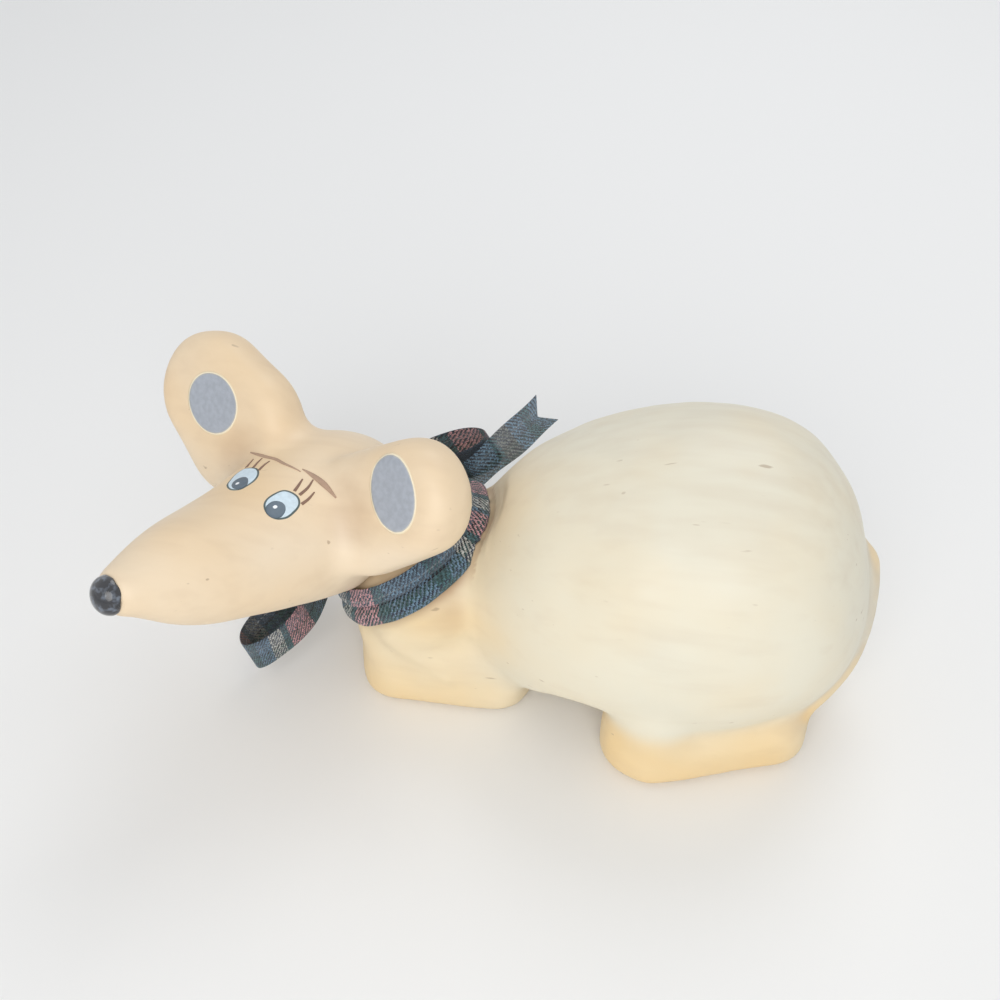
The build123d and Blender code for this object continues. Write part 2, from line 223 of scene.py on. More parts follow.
def washed_wood(name, pale, tan, shade, gloss_coat=0.12):
    """Wood under a thin wash of paint and a satin varnish, warmer where the mesh says, and darkened by
    painted shade towards a shade colour where it says so.

    Scales of grain here and in the paints are per metre.
    """
    material, surface = new_material(name, Coat_Weight=gloss_coat, Coat_Roughness=0.38)
    warmth = feed(material, "Attribute", attribute_name="warmth").outputs["Fac"]
    painted_shade = feed(material, "Attribute", attribute_name="painted_shade").outputs["Fac"]
    cloud = grainy(material, 38.0, detail=3.0)
    warm_share = uneven(material, warmth, cloud, middle=0.5, strength=0.5)
    wash = blend_colours(material, warm_share, (*pale, 1), (*tan, 1))
    # Painted shade: the wash darkens towards the shade colour by the mesh's amount of painted shade,
    # broken up by streaks along the grain
    streak = grainy(material, 210.0, detail=2.0, stretch=(0.16, 1, 1), seed=3.0)
    painted_shade_share = uneven(material, painted_shade, streak, middle=0.52, strength=0.35)
    painted_shading = blend_colours(material, painted_shade_share, wash, (*shade, 1))
    # Pores show through the wash as short dashes along the grain, in some patches only
    pore = grainy(material, 620.0, detail=1.0, stretch=(0.22, 1, 1), seed=7.0)
    patch = grainy(material, 95.0, detail=1.0, seed=11.0)
    pore_share = maths(
        material,
        "MULTIPLY",
        spread(material, pore, 0.735, 0.79, 0.0, 0.55),
        spread(material, patch, 0.5, 0.62),
    )
    colour = blend_colours(material, pore_share, painted_shading, (*PORE_COLOUR, 1))
    link(material, colour, surface, "Base Color")
    link(material, spread(material, cloud, 0.3, 0.7, 0.46, 0.6), surface, "Roughness")
    brushed = grainy(material, 420.0, detail=4.0, stretch=(0.3, 1, 1), seed=5.0)
    waves = grainy(material, 120.0, detail=2.0, seed=9.0)
    height = maths(material, "MULTIPLY_ADD", waves, 2.4, brushed)
    roughen(material, surface, height, strength=0.22, depth=0.22 * MM)
    return material


def matt_paint(name, colour, edge_colour, roughness=0.62):
    """Brushed paint whose rim thins out to the wash below; its UV runs from 0 at the middle to 1."""
    material, surface = new_material(name, Roughness=roughness)
    mottle = grainy(material, 700.0, detail=3.0)
    lighter = tuple(channel * 1.14 for channel in colour)
    tone = spread(material, mottle, 0.35, 0.65)
    paint = blend_colours(material, tone, (*colour, 1), (*lighter, 1))
    rim = feed(material, "SeparateXYZ", {0: feed(material, "UVMap").outputs[0]}).outputs[0]
    wobble = maths(material, "MULTIPLY_ADD", mottle, 0.05, rim)
    rim_share = spread(material, wobble, 0.985, 1.01)
    thinned = blend_colours(material, rim_share, paint, (*edge_colour, 1))
    link(material, thinned, surface, "Base Color")
    roughen(material, surface, mottle, strength=0.25, depth=0.1 * MM)
    return material


def gloss_paint(name, colour, scuff_and_highlight_colour):
    """Thick glossy paint with scuffs, whose lighter colour also stands for a painted highlight."""
    material, surface = new_material(name, Roughness=0.2, Coat_Weight=0.6, Coat_Roughness=0.06)
    brushed = grainy(material, 260.0, detail=2.0)
    roughen(material, surface, brushed, strength=0.5, depth=0.6 * MM)
    # Lighter patches: scuffs on the paint, and partly a painted highlight on the gloss
    scuffed = grainy(material, 520.0, detail=3.0, seed=13.0)
    worn_and_highlight = spread(material, scuffed, 0.5, 0.68, 0.0, 0.8)
    tone = blend_colours(material, worn_and_highlight, (*colour, 1), (*scuff_and_highlight_colour, 1))
    link(material, tone, surface, "Base Color")
    return material


# The ribbon's thread and the repeat of its stripes, in millimetres. The twill repeats after some
# threads, of which some lie on top, and its threads step out of turn by up to a number of threads.
# The weft's stripes follow each other along the ribbon and the warp's lie across its width, as
# (place, colour), with places from 0 to 1.
THREAD, PLAID_REPEAT = 0.34, 46.0
TWILL_THREADS, THREADS_ON_TOP, OUT_OF_TURN = 4.0, 2.0, 1.3
BLUE, DEEP, RED, CHALK = (0.11, 0.19, 0.27), (0.05, 0.12, 0.14), (0.5, 0.27, 0.29), (0.4, 0.41, 0.39)
SHEER_CHALK = (0.2, 0.22, 0.21)
GREEN, NAVY, BLACK = (0.02, 0.055, 0.055), (0.02, 0.03, 0.05), (0.006, 0.008, 0.012)
SLATE, PALE_SLATE = (0.045, 0.065, 0.095), (0.16, 0.18, 0.2)
WARP_STRIPES = (
    (0.0, GREEN),
    (0.14, NAVY),
    (0.24, GREEN),
    (0.4, BLACK),
    (0.47, SLATE),
    (0.66, PALE_SLATE),
    (0.7, SLATE),
    (0.88, NAVY),
)


def plaid_weave(name, phase, see_through=1.0, lift=1.0, plain=False):
    """Twill of dark warp and coloured weft threads; UV holds millimetres across and along."""
    material, surface = new_material(
        name, Roughness=0.86, Sheen_Weight=0.25, Sheen_Roughness=0.5, Alpha=see_through
    )
    split = feed(material, "SeparateXYZ", {0: feed(material, "UVMap").outputs[0]})
    across, along = split.outputs[0], split.outputs[1]
    across_thread = maths(material, "DIVIDE", across, THREAD)
    along_thread = maths(material, "DIVIDE", along, THREAD)
    across_count = maths(material, "FLOOR", across_thread)
    along_count = maths(material, "FLOOR", along_thread)
    cell = feed(material, "CombineXYZ", {0: across_count, 1: along_count}).outputs[0]
    fleck = feed(material, "TexWhiteNoise", {"Vector": cell}, noise_dimensions="3D").outputs[0]
    twill = maths(material, "ADD", across_count, along_count)
    worn_twill = maths(material, "MULTIPLY_ADD", fleck, OUT_OF_TURN, twill)
    turn = maths(material, "FLOORED_MODULO", worn_twill, TWILL_THREADS)
    warp_on_top = maths(material, "LESS_THAN", turn, THREADS_ON_TOP)
    # lift scales the thread colours: above 1 for the sheer tail, below 1 for the reverse side, whose
    # darkening is painted shade
    blue, deep, red, chalk = (
        tuple(channel * lift for channel in colour) for colour in (BLUE, DEEP, RED, CHALK)
    )
    if plain:
        red, chalk = blue, SHEER_CHALK
    repeats = maths(material, "MULTIPLY_ADD", along, 1 / PLAID_REPEAT, phase)
    weft = stripes(
        material,
        maths(material, "FRACT", repeats),
        (
            (0.0, blue),
            (0.32, deep),
            (0.4, red),
            (0.62, deep),
            (0.67, chalk),
            (0.78, blue),
            (0.9, deep),
        ),
    )
    warp = stripes(material, maths(material, "DIVIDE", across, RIBBON_WIDTH), WARP_STRIPES)
    threads = blend_colours(material, warp_on_top, weft, warp)
    brightness = spread(material, fleck, 0.0, 1.0, 0.45, 1.65)
    flecks = feed(material, "CombineColor", {0: brightness, 1: brightness, 2: brightness})
    colour = blend_colours(material, 1.0, threads, flecks.outputs[0], "MULTIPLY")
    link(material, colour, surface, "Base Color")
    across_round, along_round = (
        maths(material, "ABSOLUTE", maths(material, "SINE", maths(material, "MULTIPLY", thread, pi)))
        for thread in (across_thread, along_thread)
    )
    height = feed(material, "Mix", {0: warp_on_top, 2: along_round, 3: across_round}).outputs[0]
    roughen(material, surface, height, strength=0.7, depth=0.3 * MM)
    return material


body_wash = washed_wood(
    "cream_washed_wood", pale=(0.775, 0.735, 0.6), tan=(0.83, 0.62, 0.33), shade=(0.45, 0.29, 0.16)
)
head_wash = washed_wood(
    "tan_washed_wood", pale=(0.83, 0.72, 0.565), tan=(0.80, 0.59, 0.35), shade=(0.42, 0.26, 0.15)
)
peg_wood = washed_wood(
    "bare_peg_wood",
    pale=(0.62, 0.45, 0.27),
    tan=(0.55, 0.38, 0.21),
    shade=(0.3, 0.2, 0.12),
    gloss_coat=0.0,
)
# The nose's second colour is for scuffs and partly a painted highlight
nose_paint = gloss_paint("black_nose_paint", (0.012, 0.014, 0.02), (0.16, 0.19, 0.24))
ear_paint = matt_paint("grey_blue_ear_paint", (0.35, 0.38, 0.43), (0.52, 0.52, 0.5))
eye_outline_paint = matt_paint("dark_eye_outline_paint", (0.07, 0.1, 0.1), (0.16, 0.18, 0.17))
eye_white_paint = matt_paint("pale_blue_eye_paint", (0.6, 0.72, 0.8), (0.3, 0.38, 0.42))
iris_paint = matt_paint("grey_blue_iris_paint", (0.09, 0.13, 0.17), (0.04, 0.06, 0.08), 0.4)
glint_paint = matt_paint("white_glint_paint", (0.85, 0.88, 0.9), (0.75, 0.8, 0.84), 0.4)
line_paint = matt_paint("brown_line_paint", (0.22, 0.13, 0.09), (0.4, 0.27, 0.18))
brow_paint = matt_paint("tan_brow_paint", (0.4, 0.27, 0.19), (0.6, 0.45, 0.32))
rim_paint = matt_paint("cream_ear_rim", (0.86, 0.77, 0.58), (0.84, 0.7, 0.48))
band_weave = plaid_weave("plaid_band_weave", phase=0.455)
left_bow_weave = plaid_weave("plaid_left_bow_weave", phase=0.9)
right_bow_weave = plaid_weave("plaid_right_bow_weave", phase=0.1)
sheer_weave = plaid_weave("sheer_tail_weave", phase=0.72, see_through=0.7, lift=1.5, plain=True)
# The ribbon's reverse side, darkened to under a third as painted shade inside the bows' loops
shaded_reverse_weave = plaid_weave("plaid_reverse_side_painted_shade", phase=0.3, lift=0.3)


# ---- wood ----


def finish_piece(name, mesh, material, replaced=()):
    """Put a finished mesh in the scene, on the object's one body and in its CAD nodes' place."""
    piece = bpy.data.objects.new(name, mesh)
    scene.collection.objects.link(piece)
    mesh.materials.clear()
    mesh.materials.append(material)
    mesh.shade_smooth()
    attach(piece, "root")
    if replaced:
        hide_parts(*replaced)
    return piece


def helper(name, mesh):
    """An object that only shapes another one, and is removed when it has."""
    made = bpy.data.objects.new(name, mesh)
    scene.collection.objects.link(made)
    return made


def evaluated(rough, name):
    """The mesh that an object's modifiers give."""
    graph = bpy.context.evaluated_depsgraph_get()
    mesh = bpy.data.meshes.new_from_object(rough.evaluated_get(graph))
    mesh.name = name
    return mesh


def tree_of(*meshes):
    """Search tree over the faces of several meshes."""
    joined = bmesh.new()
    for mesh in meshes:
        joined.from_mesh(mesh)
    tree = BVHTree.FromBMesh(joined)
    joined.free()
    return tree


def ribbon_ring(reach, low, high):
    """A closed ring round the neck: its radius, foot and top at each angle, in millimetres."""
    ring = bmesh.new()
    bmesh.ops.create_cone(ring, cap_ends=True, segments=120, radius1=1, radius2=1, depth=1)
    for vertex in ring.verts:
        angle = round_neck(vertex.co.x, vertex.co.y)
        height = high(angle) if vertex.co.z > 0 else low(angle)
        vertex.co = on_neck(angle, reach(angle), height)
    bmesh.ops.recalc_face_normals(ring, faces=ring.faces)
    return ring


# The band's seat in the wood, in millimetres: the room left below and above the band, how far out it
# is cut, and how far its floor has risen there. The neck's wood inside it is a core from a foot to
# some height above the band's middle.
SEAT_BELOW, SEAT_ABOVE, SEAT_REACH, SEAT_FLARE = 0.4, 0.8, 9.0, 6.5
CORE_FOOT, CORE_TOP = -14.0, 9.0


def seat_cutter(name):
    """What is taken off the wood where the band lies: a ring whose floor opens out like a cone."""
    low, high = -RIBBON_WIDTH / 2 - SEAT_BELOW, RIBBON_WIDTH / 2 + SEAT_ABOVE
    outer = NECK_RADIUS + SEAT_REACH
    cutter = ribbon_ring(
        lambda angle: outer,
        lambda angle: band_shift(angle) + low + SEAT_FLARE,
        lambda angle: band_shift(angle) + high,
    )

    def angle_and_height(vertex):
        right, throat, up = Vector(neck_place(vertex.co))
        angle = round_neck(right, throat)
        return angle, up - band_shift(angle)

    floor_faces = [
        face
        for face in cutter.faces
        if len(face.verts) > 4 and all(angle_and_height(vertex)[1] < high - 1 for vertex in face.verts)
    ]
    bmesh.ops.inset_region(
        cutter, faces=floor_faces, thickness=(outer - NECK_RADIUS) * MM, use_even_offset=False
    )
    for vertex in {vertex for face in floor_faces for vertex in face.verts}:
        angle = angle_and_height(vertex)[0]
        vertex.co = on_neck(angle, NECK_RADIUS, band_shift(angle) + low)
    return helper(name, mesh_from(name, cutter))


def regrid(rough, label, grid):
    """Build an object's surface anew on an even grid."""
    remesh = rough.modifiers.new(label, "REMESH")
    remesh.mode = "VOXEL"
    remesh.voxel_size = grid * MM


def cut_away(rough, label, cutter):
    cut = rough.modifiers.new(label, "BOOLEAN")
    cut.operation = "DIFFERENCE"
    cut.object = cutter
    cut.solver = "EXACT"


def carved(name, node_names, filled, rounded, grid, strokes, collar=None):
    """One smooth mesh of joined CAD nodes: creases filled, edges rounded, and a seat for the band."""
    block = bmesh.new()
    for node_name in node_names:
        block.from_mesh(nodes[node_name].data)
    bmesh.ops.remove_doubles(block, verts=block.verts, dist=0.001 * MM)
    if collar:
        collar_mesh = mesh_from(name + "_collar", collar)
        block.from_mesh(collar_mesh)
        bpy.data.meshes.remove(collar_mesh)
    rough = helper(name + "_rough", mesh_from(name, block))
    for label, amount in (
        ("swell", filled),
        ("shrink", -filled),
        ("wear", -rounded),
        ("plump", rounded),
    ):
        regrid(rough, label + "_grid", grid)
        move = rough.modifiers.new(label, "DISPLACE")
        move.mid_level = 0
        move.strength = amount * MM
    ring = seat_cutter(name + "_ring")
    column = ribbon_ring(
        lambda angle: NECK_RADIUS, lambda angle: CORE_FOOT, lambda angle: band_shift(angle) + CORE_TOP
    )
    core = helper(name + "_core", mesh_from(name + "_core", column))
    cut_away(ring, "hole", core)
    regrid(rough, "clean_grid", grid)
    cut_away(rough, "seat", ring)
    regrid(rough, "final_grid", grid)
    sand = rough.modifiers.new("sand", "SMOOTH")
    sand.factor = 0.5
    sand.iterations = strokes
    smooth = evaluated(rough, name)
    for part in (rough, ring, core):
        old = part.data
        bpy.data.objects.remove(part)
        bpy.data.meshes.remove(old)
    return smooth


def hand_cut(place, size, depth):
    """Unevenness that a knife and sandpaper leave: its size and depth are in millimetres."""
    return noise.noise(place / (size * MM)) * depth * MM


def paint_amounts(mesh, amounts):
    """Store how warm and how soiled the wash is at each point of the wood."""
    for label, values in amounts.items():
        attribute = mesh.attributes.new(label, "FLOAT", "POINT")
        attribute.data.foreach_set("value", values)


def seat_collar():
    """Wood that fills the straight seat behind the neck, as high as the shoulders round it."""
    skin = tree_of(nodes["body"].data)
    outer, inner, foot, lowest, highest = 29.6, 12.0, -9.0, -8.0, 7.0
    below_shoulder, shoulder = 0.3, -5.0

    def height(angle):
        hit = skin.ray_cast(on_neck(angle, outer, 30.0), -NECK_UP, 60 * MM)[0]
        up = neck_place(hit)[2] if hit is not None else foot
        return clamp(up - below_shoulder, lowest, highest)

    def reach(angle):
        return outer if height(angle) > shoulder else inner

    return ribbon_ring(reach, lambda angle: foot, height)


# Facets that the knife left on the chest, the paws and the feet: start, end, width and height
KNIFE_MARKS = (
    (Vector((-88.0, -26.0, 26.0)), Vector((-72.0, -29.5, 14.0)), 5.0, 0.9),
    (Vector((-94.0, -22.0, 24.0)), Vector((-84.0, -27.0, 12.0)), 6.0, -0.7),
    (Vector((-66.0, -27.0, 24.0)), Vector((-60.0, -28.0, 10.0)), 7.0, -0.8),
    (Vector((-26.0, -44.0, 12.0)), Vector((-8.0, -47.0, 8.0)), 6.0, -0.7),
    (Vector((4.0, -42.0, 12.0)), Vector((20.0, -36.0, 10.0)), 6.0, 0.6),
)
TAIL_PATH = [Vector((36.4, 9.3, 41.0)), Vector((31.0, -15.0, 23.0)), Vector((18.0, -23.9, 12.0))]
TAIL_LINE = [along_path(TAIL_PATH, step / 16) for step in range(17)]


def knife_facet(place):
    """Height of the knife's facets at a place, all in millimetres."""
    height = 0.0
    for start, end, width, depth in KNIFE_MARKS:
        run = end - start
        share = clamp((place - start).dot(run) / run.length_squared)
        height += depth * (1 - soft_step((place - start - run * share).length, 0.0, width))
    return height


def body_wash_amounts(point, normal, radius, near_band):
    """How warm the body's wash is at a point, golden on the feet, paws, neck and tail, and how much
    shade is painted into it.
    """
    x, y, z = point / MM
    low = 1 - soft_step(z, 6.0, 24.0)
    foot = (1 - soft_step(z, 15.0, 23.0)) * soft_step(x, -34.0, -24.0) * (1 - soft_step(x, 14.0, 34.0))
    paw = (1 - soft_step(x, -72.0, -48.0)) * (1 - soft_step(z, 26.0, 44.0))
    near_tail = x > 8 and z < 52
    off_tail = min((point / MM - spot).length for spot in TAIL_LINE) if near_tail else 99.0
    tail_ridge = 1 - soft_step(off_tail, 5.0, 7.5)
    # Painted shade along the crease beside the tail
    tail_crease_shade = soft_step(off_tail, 4.5, 6.5) * (1 - soft_step(off_tail, 7.0, 10.5))
    near_neck = (1 - soft_step(radius, 22.0, 52.0)) * soft_step(z, 26.0, 38.0)
    # Painted shade on the top of the rump, which is darker there
    painted_top_shade = soft_step(z, 55.0, 84.0) * 0.16
    patchy = 0.22 * noise.noise(point / (26 * MM))
    warm = 0.03 + 0.35 * low + 0.6 * foot + 0.52 * paw + 0.7 * tail_ridge + 0.5 * near_neck + patchy
    # Painted shade on the wood behind the neck and in the seat under the band
    behind_neck_shade = near_neck * soft_step(normal.x + 0.3, 0.0, 0.8)
    under_band_shade = near_band * (radius < 27)
    painted_shading = 0.4 * painted_top_shade + 0.5 * behind_neck_shade + 0.5 * under_band_shade + 0.2 * tail_crease_shade
    return clamp(warm), clamp(painted_shading)


def head_wash_amounts(point):
    """How warm the head's wash is at a point, and how much shade is painted into it: at the ears'
    roots and under the throat.
    """
    offset = point / MM - HEAD_MIDDLE
    forward, left, height = offset.dot(HEAD_FORWARD), offset.dot(HEAD_LEFT), offset.dot(HEAD_UP)
    ear_root = Vector((14, 22, 15))
    off_ear = (Vector((forward, abs(left), height)) - ear_root).length
    ear_root_shade = 1 - soft_step(off_ear, 3.0, 12.0)
    under = 1 - soft_step(height, -14.0, 2.0)
    top = soft_step(height, 6.0, 18.0) * soft_step(forward, -10.0, 10.0)
    throat_shade = under * (1 - soft_step(forward, -8.0, 22.0))
    patchy = 0.25 * noise.noise(point / (22 * MM))
    warm = 0.3 + patchy + 0.35 * top + 0.2 * soft_step(forward, 40.0, 62.0)
    # Painted shade at the ears' roots and under the throat, on top of a little all over
    return clamp(warm), clamp(0.02 + 0.3 * ear_root_shade + 0.8 * throat_shade)


body_mesh = carved(
    "carved_body", ("body",), filled=2.6, rounded=2.2, grid=1.0, strokes=26, collar=seat_collar()
)
# For each point of the body: how warm the wash is, and how much shade is painted into it
warmth, painted_shade = [], []
for vertex, normal in zip(body_mesh.vertices, [v.normal.copy() for v in body_mesh.vertices]):
    point = vertex.co.copy()
    right, throat, up = neck_place(point)
    radius = sqrt(right * right + throat * throat)
    near_band = 1 - soft_step(abs(up - band_shift(round_neck(right, throat))), 6.0, 9.0)
    in_seat = near_band > 0 and radius < 30
    on_floor = point.z <= 1.0 * MM
    if not on_floor and not in_seat:
        slow, quick = hand_cut(point, size=16.0, depth=0.45), hand_cut(point, size=7.0, depth=0.14)
        point += normal * (slow + quick)
    point += normal * knife_facet(point / MM) * MM
    point.z = max(point.z, 0)
    vertex.co = point
    warm, painted_shading = body_wash_amounts(point, normal, radius, near_band)
    warmth.append(warm)
    painted_shade.append(painted_shading)
paint_amounts(body_mesh, {"warmth": warmth, "painted_shade": painted_shade})
body_mesh.update()
finish_piece("carved_body", body_mesh, body_wash, ("body",))

# The painted discs of the construction are joined in, which fills their shallow seats in the head
PAINTED_NODES = (
    "ear_oval_left",
    "ear_oval_right",
    "eye_white_left",
    "eye_white_right",
    "iris_left",
    "iris_right",
)
head_mesh = carved(
    "carved_head", ("head", *PAINTED_NODES), filled=4.4, rounded=2.0, grid=0.8, strokes=14
)
# For each point of the head: how warm the wash is, and how much shade is painted into it
warmth, painted_shade = [], []
for vertex, normal in zip(head_mesh.vertices, [v.normal.copy() for v in head_mesh.vertices]):
    point = vertex.co.copy()
    point += normal * hand_cut(point, size=13.0, depth=0.25)
    vertex.co = point
    warm, painted_shading = head_wash_amounts(point)
    warmth.append(warm)
    painted_shade.append(painted_shading)
paint_amounts(head_mesh, {"warmth": warmth, "painted_shade": painted_shade})
head_mesh.update()
finish_piece("carved_head", head_mesh, head_wash, ("head",))

nodes["neck_peg"].data.materials.clear()
nodes["neck_peg"].data.materials.append(peg_wood)
head_skin = tree_of(head_mesh)
wood_skin = tree_of(body_mesh, head_mesh)


# ---- nose ----


def nose_mesh():
    """Rounded bead with a slightly wavy edge where its paint meets the snout."""
    radius, front, back, set_back, wave_depth = 4.9, 3.9, 1.6, 0.2, 0.7
    bead = bmesh.new()
    bmesh.ops.create_uvsphere(bead, u_segments=48, v_segments=28, radius=1.0)
    for vertex in bead.verts:
        left, up, along = vertex.co
        depth = front if along > 0 else back
        wave = wave_depth * noise.noise(Vector((left * 1.8, up * 1.8, 4)))
        forward = SNOUT_LENGTH - set_back + along * depth + wave * (along < 0.2)
        vertex.co = head_point(forward, left * radius, up * radius)
    bmesh.ops.recalc_face_normals(bead, faces=bead.faces)
    return mesh_from("nose_bead", bead)


finish_piece("nose_bead", nose_mesh(), nose_paint, ("nose",))


# ---- paint on the head ----

# The ears' angles, the middles of the ears' and the eyes' faces and the way that the eyes look, in
# the head's own directions and for its left side
EAR_SPREAD, EAR_YAW = radians(39.0), radians(-12.0)
EAR_MIDDLE, EYE_MIDDLE, EYE_FACING = (16.7, 34.2, 25.6), (27.5, 7.8, 16.0), (0.17, 0.3, 1)

# How far each coat of paint stands above the wood, how far it sinks at its edge and how thick it is,
# in millimetres
UNDER_COAT, LINE_COAT, TOP_COAT, IRIS_COAT, GLINT_COAT = 0.1, 0.12, 0.16, 0.22, 0.28
EDGE_SINK, PAINT_THICKNESS = 0.1, 0.25


def mirrored(numbers, side):
    """A left-hand place or direction for a side of the head: 1 is left and -1 right."""
    forward, left, up = numbers
    return Vector((forward, side * left, up))


def ear_directions(side):
    """The ear's face: its middle, the way out along it, the way across it and the way it looks."""
    out = Vector((0, side * cos(EAR_SPREAD), sin(EAR_SPREAD)))
    facing = Vector((cos(EAR_YAW), side * sin(EAR_YAW), 0))
    facing = (facing - out * facing.dot(out)).normalized()
    return mirrored(EAR_MIDDLE, side), out, facing.cross(out), facing


def eye_directions(side):
    """The place of an eye on the snout, the way forward along it, across it and out of it."""
    facing = mirrored(EYE_FACING, side).normalized()
    ahead = (Vector((1, 0, 0)) - facing * facing.x).normalized()
    return mirrored(EYE_MIDDLE, side), ahead, facing.cross(ahead), facing


def on_head(face, x, y, proud):
    """Drop a point of a painted shape onto the head, and lift it by its coat of paint."""
    middle, first, second, facing = face
    above, reach = 12, 40
    spot = middle + first * x + second * y
    start = head_point(*(spot + facing * above))
    way = -(HEAD_FORWARD * facing.x + HEAD_LEFT * facing.y + HEAD_UP * facing.z)
    hit, normal, _, _ = head_skin.ray_cast(start, way, reach * MM)
    if hit is None:
        hit, normal = head_skin.find_nearest(head_point(*spot))[:2]
    return hit + normal * proud * MM


def close_film(name, film, rim_shares, material, replaced):
    """Finish a film of paint: its UV, its outer side and its thickness, down into the wood."""
    uv = film.loops.layers.uv.new("UVMap")
    for face in film.faces:
        for loop in face.loops:
            loop[uv].uv = (rim_shares[loop.vert], 0)
    centre = sum((vertex.co for vertex in film.verts), Vector()) / len(film.verts)
    film.normal_update()
    toward = sum((face.normal for face in film.faces), Vector())
    outward = head_skin.find_nearest(centre)[1]
    if toward.dot(outward) < 0:
        bmesh.ops.reverse_faces(film, faces=film.faces)
    piece = finish_piece(name, mesh_from(name, film), material, replaced)
    wall = piece.modifiers.new("paint_depth", "SOLIDIFY")
    wall.thickness = PAINT_THICKNESS * MM
    wall.offset = -1
    return piece


def paint_patch(name, face, outline, proud, material, replaced=(), fine=28):
    """A film of paint on the head: a square grid pulled to a rounded outline and laid on the wood."""
    film = bmesh.new()
    bmesh.ops.create_grid(film, x_segments=fine, y_segments=fine, size=1.0)
    rim_shares = {}
    for vertex in film.verts:
        x, y = vertex.co.x, vertex.co.y
        round_x = x * sqrt(1 - y * y / 2)
        round_y = y * sqrt(1 - x * x / 2)
        rim_share = min(1.0, sqrt(round_x * round_x + round_y * round_y))
        rim_shares[vertex] = rim_share
        shape_x, shape_y = outline(round_x, round_y)
        vertex.co = on_head(face, shape_x, shape_y, proud - EDGE_SINK * rim_share**12)
    return close_film(name, film, rim_shares, material, replaced)


def paint_stroke(name, face, points, widths, material, fine=26):
    """A painted line on the head that follows a few points and thins towards its ends."""
    film = bmesh.new()
    bmesh.ops.create_grid(film, x_segments=fine, y_segments=3, size=1.0)
    rim_shares = {}
    for vertex in film.verts:
        run, side = (vertex.co.x + 1) / 2, vertex.co.y
        spot = along_path(points, run)
        ahead = along_path(points, min(run + 0.02, 1)) - along_path(points, max(run - 0.02, 0))
        across = Vector((-ahead.y, ahead.x)).normalized()
        width = along_path([Vector((width, 0, 0)) for width in widths], run).x
        spot = spot + across * side * width / 2
        rim_shares[vertex] = abs(side) * 0.9
        vertex.co = on_head(face, spot.x, spot.y, LINE_COAT)
    return close_film(name, film, rim_shares, material, ())


def oval(length, width, turn, x, y):
    """A turned oval about (x, y), as a shape that takes the points of a unit disc."""

    def outline(unit_x, unit_y):
        long, wide = unit_x * length / 2, unit_y * width / 2
        return x + long * cos(turn) - wide * sin(turn), y + long * sin(turn) + wide * cos(turn)

    return outline


def drawn(points, grow):
    """A rounded shape drawn through points, moved out or in by an amount all round."""
    middle = sum(points, Vector((0, 0))) / len(points)

    def outline(unit_x, unit_y):
        share = sqrt(unit_x * unit_x + unit_y * unit_y)
        if share < 1e-6:
            return middle.x, middle.y
        edge = along_path(points, (atan2(unit_y, unit_x) / tau) % 1, True) - middle
        spot = middle + edge * (1 + grow / edge.length) * share
        return spot.x, spot.y

    return outline


def dots(*pairs):
    return [Vector(pair) for pair in pairs]


# Painted shapes, in millimetres on each eye's and each ear's own face
EYE_SHAPES = {
    "left": dots(
        (5.9, 1.6),
        (5.0, 3.8),
        (2.6, 4.9),
        (0.0, 4.6),
        (-2.2, 3.7),
        (-3.4, 1.9),
        (-3.2, -0.3),
        (-1.9, -2.3),
        (0.6, -2.8),
        (3.2, -2.4),
        (5.1, -0.9),
    ),
    "right": dots(
        (6.1, 2.2),
        (5.2, 4.7),
        (2.8, 5.2),
        (0.0, 5.1),
        (-2.4, 3.8),
        (-4.2, 1.2),
        (-4.5, -2.0),
        (-3.9, -4.3),
        (-1.4, -4.5),
        (1.6, -3.1),
        (4.3, -1.2),
    ),
}
# Length, width, turn, x and y: the irises' turn is in radians and the ear ovals' in degrees
IRIS_SHAPES = {"left": (5.6, 5.0, 0.6, 3.3, 1.5), "right": (6.6, 4.6, 0.8, 2.7, 2.2)}
EAR_OVALS = {"left": (18.9, 15.4, 81.0, 0.1, 0.2), "right": (17.9, 16.4, 46.0, -0.2, 0.4)}
GLINTS = {"left": (3.1, 0.9), "right": (3.3, 1.9)}
LASHES = {
    "left": (
        dots((-3.9, -0.5), (-5.9, -1.4), (-7.9, -2.4)),
        dots((-4.2, 1.2), (-7.2, 0.6), (-9.8, -0.6)),
        dots((-3.0, 3.7), (-5.3, 3.4), (-7.8, 2.6)),
    ),
    "right": (
        dots((-4.9, -3.9), (-7.1, -5.2), (-8.9, -5.6)),
        dots((-4.7, -0.7), (-7.2, -1.7), (-9.1, -2.0)),
        dots((-3.7, 2.5), (-6.2, 2.0), (-8.1, 2.1)),
    ),
}
LASH_WIDTHS = (0.8, 0.65, 0.35)
# Each brow's points and its widths along them
BROWS = {
    "left": (dots((-10.0, -5.2), (-10.6, -1.6), (-10.8, 2.2), (-10.7, 7.5)), (0.25, 1.2, 1.3, 0.3)),
    "right": (
        dots((-10.9, -8.7), (-9.9, -2.4), (-9.3, 3.0), (-8.5, 7.5), (-8.7, 12.7)),
        (0.2, 0.8, 0.9, 0.7, 0.2),
    ),
}

